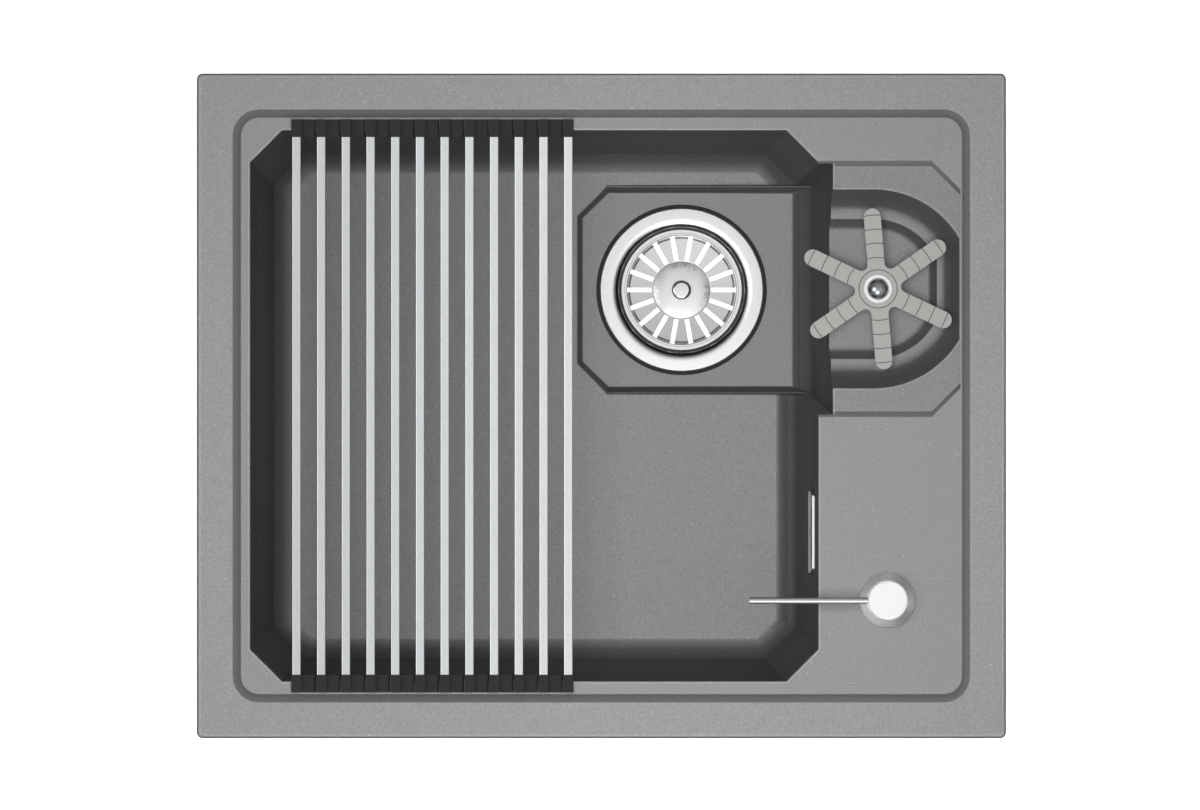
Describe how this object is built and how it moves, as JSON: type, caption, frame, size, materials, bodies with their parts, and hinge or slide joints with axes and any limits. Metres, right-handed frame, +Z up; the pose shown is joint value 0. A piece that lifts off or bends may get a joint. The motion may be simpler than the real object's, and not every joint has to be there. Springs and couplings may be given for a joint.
{
  "type": "kitchen sink",
  "caption": "Inset composite kitchen sink with a side basin, glass rinser, basket strainer waste, overflow, deck soap pump and a roll-up drying mat of steel bars.",
  "frame": {"origin": "middle of the sink on the worktop's surface, in the plane of the rim's underside", "axes": "+X to the right towards the side basin, +Y to the back, +Z up"},
  "size_m": [0.56, 0.46, 0.341],
  "materials": {
    "composite": "matte",
    "steel": "satin",
    "chrome": "polished",
    "black_rubber": "matte",
    "silicone": "satin",
    "bar_steel": "satin",
    "star_plastic": "matte",
    "white_plastic": "gloss",
    "grey_plastic": "satin",
    "cap_white": "gloss"
  },
  "bodies": {
    "sink": {"basin": "composite", "flange_gasket": "black_rubber", "waste_flange": "steel", "waste_seal": "black_rubber", "waste_body": "white_plastic", "waste_bolt": "steel", "overflow_cover": "chrome", "overflow_screw": "steel", "overflow_gasket": "black_rubber", "overflow_body": "white_plastic", "overflow_pipe": "white_plastic", "overflow_nuts": "grey_plastic", "rinser_gasket": "black_rubber", "rinser_body": "grey_plastic", "rinser_nut": "white_plastic", "rinser_spring": "steel", "dispenser_gasket": "black_rubber", "dispenser_base": "steel", "dispenser_washer": "black_rubber", "dispenser_nut": "white_plastic", "dispenser_bottle": "white_plastic"},
    "basket": {"basket_cup": "steel", "basket_knob": "chrome", "basket_stem": "steel", "basket_seal": "black_rubber"},
    "rinser_star": {"rinser_plunger": "steel", "rinser_seal": "black_rubber", "rinser_star": "star_plastic", "rinser_nozzle": "chrome"},
    "pump_insert": {"pump_collar": "chrome", "pump_cylinder": "white_plastic", "dip_tube": "white_plastic", "pump_spring": "steel"},
    "pump_rod": {"pump_piston": "white_plastic"},
    "pump_head": {"pump_head": "cap_white", "pump_spout": "chrome"},
    "mat_01": {"mat_bar_01": "bar_steel", "mat_ends_01": "silicone"},
    "mat_02": {"mat_bar_02": "bar_steel", "mat_ends_02": "silicone"},
    "mat_03": {"mat_bar_03": "bar_steel", "mat_ends_03": "silicone"},
    "mat_04": {"mat_bar_04": "bar_steel", "mat_ends_04": "silicone"},
    "mat_05": {"mat_bar_05": "bar_steel", "mat_ends_05": "silicone"},
    "mat_06": {"mat_bar_06": "bar_steel", "mat_ends_06": "silicone"},
    "mat_07": {"mat_bar_07": "bar_steel", "mat_ends_07": "silicone"},
    "mat_08": {"mat_bar_08": "bar_steel", "mat_ends_08": "silicone"},
    "mat_09": {"mat_bar_09": "bar_steel", "mat_ends_09": "silicone"},
    "mat_10": {"mat_bar_10": "bar_steel", "mat_ends_10": "silicone"},
    "mat_11": {"mat_bar_11": "bar_steel", "mat_ends_11": "silicone"},
    "mat_12": {"mat_bar_12": "bar_steel", "mat_ends_12": "silicone"}
  },
  "joints": [
    {"name": "basket_lift", "type": "slide", "parent": "sink", "child": "basket", "axis": [0, 0, 1], "range_m": [0, 0.07]},
    {"name": "rinser_press", "type": "slide", "parent": "sink", "child": "rinser_star", "axis": [0, 0, -1], "range_m": [0, 0.006], "stiffness_N_per_m": 400, "springref_m": -0.008, "deforming": ["rinser_spring"]},
    {"name": "pump_lift", "type": "slide", "parent": "sink", "child": "pump_insert", "axis": [0, 0, 1], "range_m": [0, 0.18]},
    {"name": "pump_press", "type": "slide", "parent": "pump_insert", "child": "pump_rod", "axis": [0, 0, -1], "range_m": [0, 0.012], "stiffness_N_per_m": 300, "springref_m": -0.02, "deforming": ["pump_spring"]},
    {"name": "pump_swivel", "type": "hinge", "parent": "pump_rod", "child": "pump_head", "pos_m": [0.198, -0.1345, 0.032], "axis": [0, 0, 1], "continuous": true},
    {"name": "mat_slide", "type": "slide", "parent": "sink", "child": "mat_01", "axis": [1, 0, 0], "range_m": [-0.0255, 0.195]},
    {"name": "mat_roll_01", "type": "hinge", "parent": "mat_01", "child": "mat_02", "pos_m": [-0.19905, 0, 0.00425], "axis": [0, -1, 0], "range_deg": [0, 33]},
    {"name": "mat_roll_02", "type": "hinge", "parent": "mat_02", "child": "mat_03", "pos_m": [-0.18195, 0, 0.00425], "axis": [0, -1, 0], "range_deg": [0, 34]},
    {"name": "mat_roll_03", "type": "hinge", "parent": "mat_03", "child": "mat_04", "pos_m": [-0.16485, 0, 0.00425], "axis": [0, -1, 0], "range_deg": [0, 36]},
    {"name": "mat_roll_04", "type": "hinge", "parent": "mat_04", "child": "mat_05", "pos_m": [-0.14775, 0, 0.00425], "axis": [0, -1, 0], "range_deg": [0, 38]},
    {"name": "mat_roll_05", "type": "hinge", "parent": "mat_05", "child": "mat_06", "pos_m": [-0.13065, 0, 0.00425], "axis": [0, -1, 0], "range_deg": [0, 41]},
    {"name": "mat_roll_06", "type": "hinge", "parent": "mat_06", "child": "mat_07", "pos_m": [-0.11355, 0, 0.00425], "axis": [0, -1, 0], "range_deg": [0, 44]},
    {"name": "mat_roll_07", "type": "hinge", "parent": "mat_07", "child": "mat_08", "pos_m": [-0.09645, 0, 0.00425], "axis": [0, -1, 0], "range_deg": [0, 48]},
    {"name": "mat_roll_08", "type": "hinge", "parent": "mat_08", "child": "mat_09", "pos_m": [-0.07935, 0, 0.00425], "axis": [0, -1, 0], "range_deg": [0, 54]},
    {"name": "mat_roll_09", "type": "hinge", "parent": "mat_09", "child": "mat_10", "pos_m": [-0.06225, 0, 0.00425], "axis": [0, -1, 0], "range_deg": [0, 60]},
    {"name": "mat_roll_10", "type": "hinge", "parent": "mat_10", "child": "mat_11", "pos_m": [-0.04515, 0, 0.00425], "axis": [0, -1, 0], "range_deg": [0, 66]},
    {"name": "mat_roll_11", "type": "hinge", "parent": "mat_11", "child": "mat_12", "pos_m": [-0.02805, 0, 0.00425], "axis": [0, -1, 0], "range_deg": [0, 70]}
  ],
  "couplings": [
    {"joint": "mat_roll_01", "follows": "mat_roll_11", "ratio": 0.47143},
    {"joint": "mat_roll_02", "follows": "mat_roll_11", "ratio": 0.48571},
    {"joint": "mat_roll_03", "follows": "mat_roll_11", "ratio": 0.51428},
    {"joint": "mat_roll_04", "follows": "mat_roll_11", "ratio": 0.54286},
    {"joint": "mat_roll_05", "follows": "mat_roll_11", "ratio": 0.58571},
    {"joint": "mat_roll_06", "follows": "mat_roll_11", "ratio": 0.62857},
    {"joint": "mat_roll_07", "follows": "mat_roll_11", "ratio": 0.68571},
    {"joint": "mat_roll_08", "follows": "mat_roll_11", "ratio": 0.77143},
    {"joint": "mat_roll_09", "follows": "mat_roll_11", "ratio": 0.85714},
    {"joint": "mat_roll_10", "follows": "mat_roll_11", "ratio": 0.94286}
  ]
}
